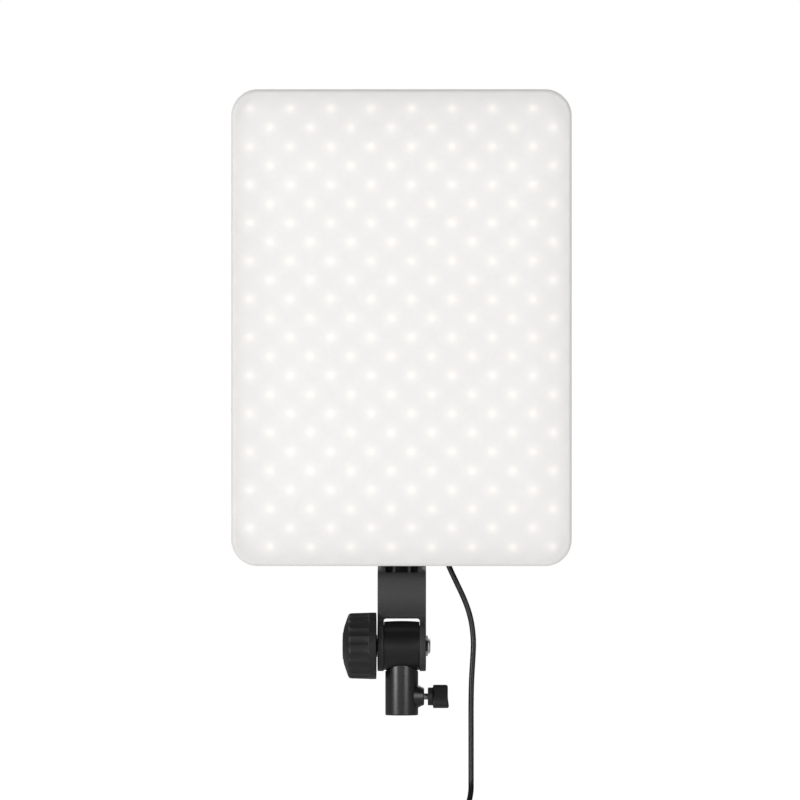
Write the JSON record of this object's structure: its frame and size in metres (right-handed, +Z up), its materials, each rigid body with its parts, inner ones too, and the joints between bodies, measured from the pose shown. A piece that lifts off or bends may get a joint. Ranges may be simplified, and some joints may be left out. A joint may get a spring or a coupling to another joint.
{
  "type": "light panel",
  "caption": "Flat LED soft-light panel with an opal diffuser, rear controls, a tilting yoke locked by a hand knob, and a clamped socket for a light-stand stud.",
  "frame": {"origin": "centre of the stand socket's lower rim, on the axis of the socket tube", "axes": "+Z up along the socket tube, +X right as seen from the front, the light shines towards -Y"},
  "size_m": [0.25, 0.068, 0.6819],
  "materials": {
    "opal": "opal white, lit from behind, satin",
    "film": "matt white film",
    "charcoal": "fine-grained moulded charcoal",
    "black_plastic": "fine-grained moulded black",
    "rubber": "soft-touch black",
    "satin_black_metal": "satin black coating",
    "plated_steel": "bright plated",
    "brass": "machined",
    "friction_fibre": "matt fibre",
    "white_board": "white solder mask on aluminium",
    "green_board": "green solder mask",
    "moulded_black": "satin",
    "gloss_black": "gloss",
    "smoked_window": "smoked clear, gloss",
    "display_glass": "dark glass",
    "wire": "insulated wire",
    "cord_jacket": "smooth soft PVC"
  },
  "bodies": {
    "stand_head": {"socket_tube": "satin_black_metal", "tube_screw": "plated_steel", "tilt_hub": "black_plastic", "friction_disc_left": "friction_fibre", "friction_disc_right": "friction_fibre", "power_lead": "cord_jacket", "lead_coil": "cord_jacket", "lead_tail": "cord_jacket", "coil_tie": "rubber", "adapter_relief": "cord_jacket", "adapter_front": "black_plastic", "adapter_back": "black_plastic", "adapter_board": "green_board", "prong_carrier": "moulded_black", "prong_left": "brass", "prong_right": "brass"},
    "clamp_nose": {"clamp_pad": "brass"},
    "thumbscrew": {"clamp_screw": "plated_steel", "wing_head": "rubber"},
    "light_panel": {"yoke_bracket": "charcoal", "tilt_bolt": "plated_steel", "bolt_washer": "rubber", "front_diffuser": "opal", "diffusion_sheet": "film", "led_board": "white_board", "rear_case": "black_plastic", "diffuser_catch_left": "black_plastic", "diffuser_catch_right": "black_plastic", "control_box": "black_plastic", "control_board": "green_board", "led_lead": "wire", "display_window": "smoked_window", "display_module": "display_glass", "brightness_pot": "plated_steel", "colour_pot": "plated_steel", "power_switch": "black_plastic", "dc_jack": "moulded_black", "dc_plug": "cord_jacket", "plug_barrel": "plated_steel", "bracket_screw_1": "plated_steel", "bracket_screw_2": "plated_steel", "bracket_screw_3": "plated_steel", "bracket_screw_4": "plated_steel", "case_screw_1": "plated_steel", "case_screw_2": "plated_steel", "case_screw_3": "plated_steel", "case_screw_4": "plated_steel", "box_screw_1": "plated_steel", "box_screw_2": "plated_steel", "box_screw_3": "plated_steel", "box_screw_4": "plated_steel"},
    "knob_spacer": {"knob_washer": "rubber"},
    "lock_knob": {"tilt_knob": "rubber", "knob_insert": "brass", "knob_cap": "rubber"},
    "brightness_control": {"brightness_dial": "rubber", "brightness_shaft": "plated_steel"},
    "colour_control": {"colour_dial": "rubber", "colour_shaft": "plated_steel"},
    "rocker": {"power_rocker": "gloss_black"}
  },
  "joints": [
    {"name": "tilt", "type": "hinge", "parent": "stand_head", "child": "light_panel", "pos_m": [0, 0, 0.051], "axis": [1, 0, 0], "range_deg": [-90, 90], "deforming": ["power_lead"]},
    {"name": "knob_travel", "type": "slide", "parent": "light_panel", "child": "knob_spacer", "axis": [-1, 0, 0], "range_m": [0, 0.0026]},
    {"name": "knob_turn", "type": "hinge", "parent": "knob_spacer", "child": "lock_knob", "pos_m": [-0.0187, 0, 0.051], "axis": [-1, 0, 0], "range_deg": [0, 720]},
    {"name": "clamp_travel", "type": "slide", "parent": "stand_head", "child": "clamp_nose", "axis": [1, 0, 0], "range_m": [-0.0025, 0.0025]},
    {"name": "clamp_turn", "type": "hinge", "parent": "clamp_nose", "child": "thumbscrew", "pos_m": [0.0114, 0, 0.0138], "axis": [1, 0, 0], "range_deg": [-1080, 1080]},
    {"name": "brightness_turn", "type": "hinge", "parent": "light_panel", "child": "brightness_control", "pos_m": [-0.032, 0.026, 0.203], "axis": [0, -1, 0], "range_deg": [-140, 140]},
    {"name": "colour_turn", "type": "hinge", "parent": "light_panel", "child": "colour_control", "pos_m": [0.032, 0.026, 0.203], "axis": [0, -1, 0], "range_deg": [-140, 140]},
    {"name": "power_rock", "type": "hinge", "parent": "light_panel", "child": "rocker", "pos_m": [0, 0.0246, 0.203], "axis": [-1, 0, 0], "range_deg": [0, 14]}
  ],
  "couplings": [
    {"joint": "knob_travel", "follows": "knob_turn", "m_per_rad": 0.00019894},
    {"joint": "clamp_travel", "follows": "clamp_turn", "m_per_rad": 0.00012732}
  ]
}
